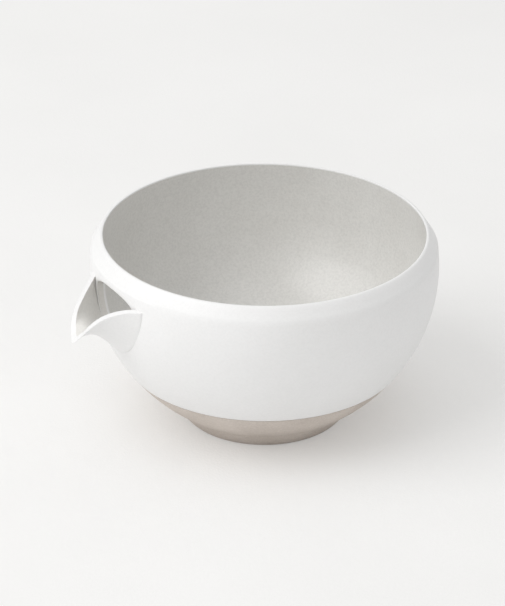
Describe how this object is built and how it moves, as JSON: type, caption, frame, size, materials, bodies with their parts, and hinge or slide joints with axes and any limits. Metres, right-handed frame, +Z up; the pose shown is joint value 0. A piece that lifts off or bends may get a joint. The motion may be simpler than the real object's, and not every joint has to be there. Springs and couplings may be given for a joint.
{
  "type": "spouted bowl",
  "caption": "Round thrown stoneware bowl with a turned foot ring and a short pouring spout under its shoulder, white outside and grey inside.",
  "frame": {"origin": "under the middle of the overall outline, on the plane the foot ring stands on", "axes": "-X towards the spout, +Y across, +Z up"},
  "size_m": [0.1347, 0.12, 0.0683],
  "materials": {
    "bare_clay": "matte",
    "foot_clay": "matte",
    "spout_glaze": "satin",
    "white_glaze": "satin",
    "grey_glaze": "satin"
  },
  "bodies": {
    "root": {"bowl_body": "bare_clay", "foot_ring": "foot_clay", "spout": "spout_glaze", "outer_glaze": "white_glaze", "inner_glaze": "grey_glaze"}
  },
  "joints": []
}
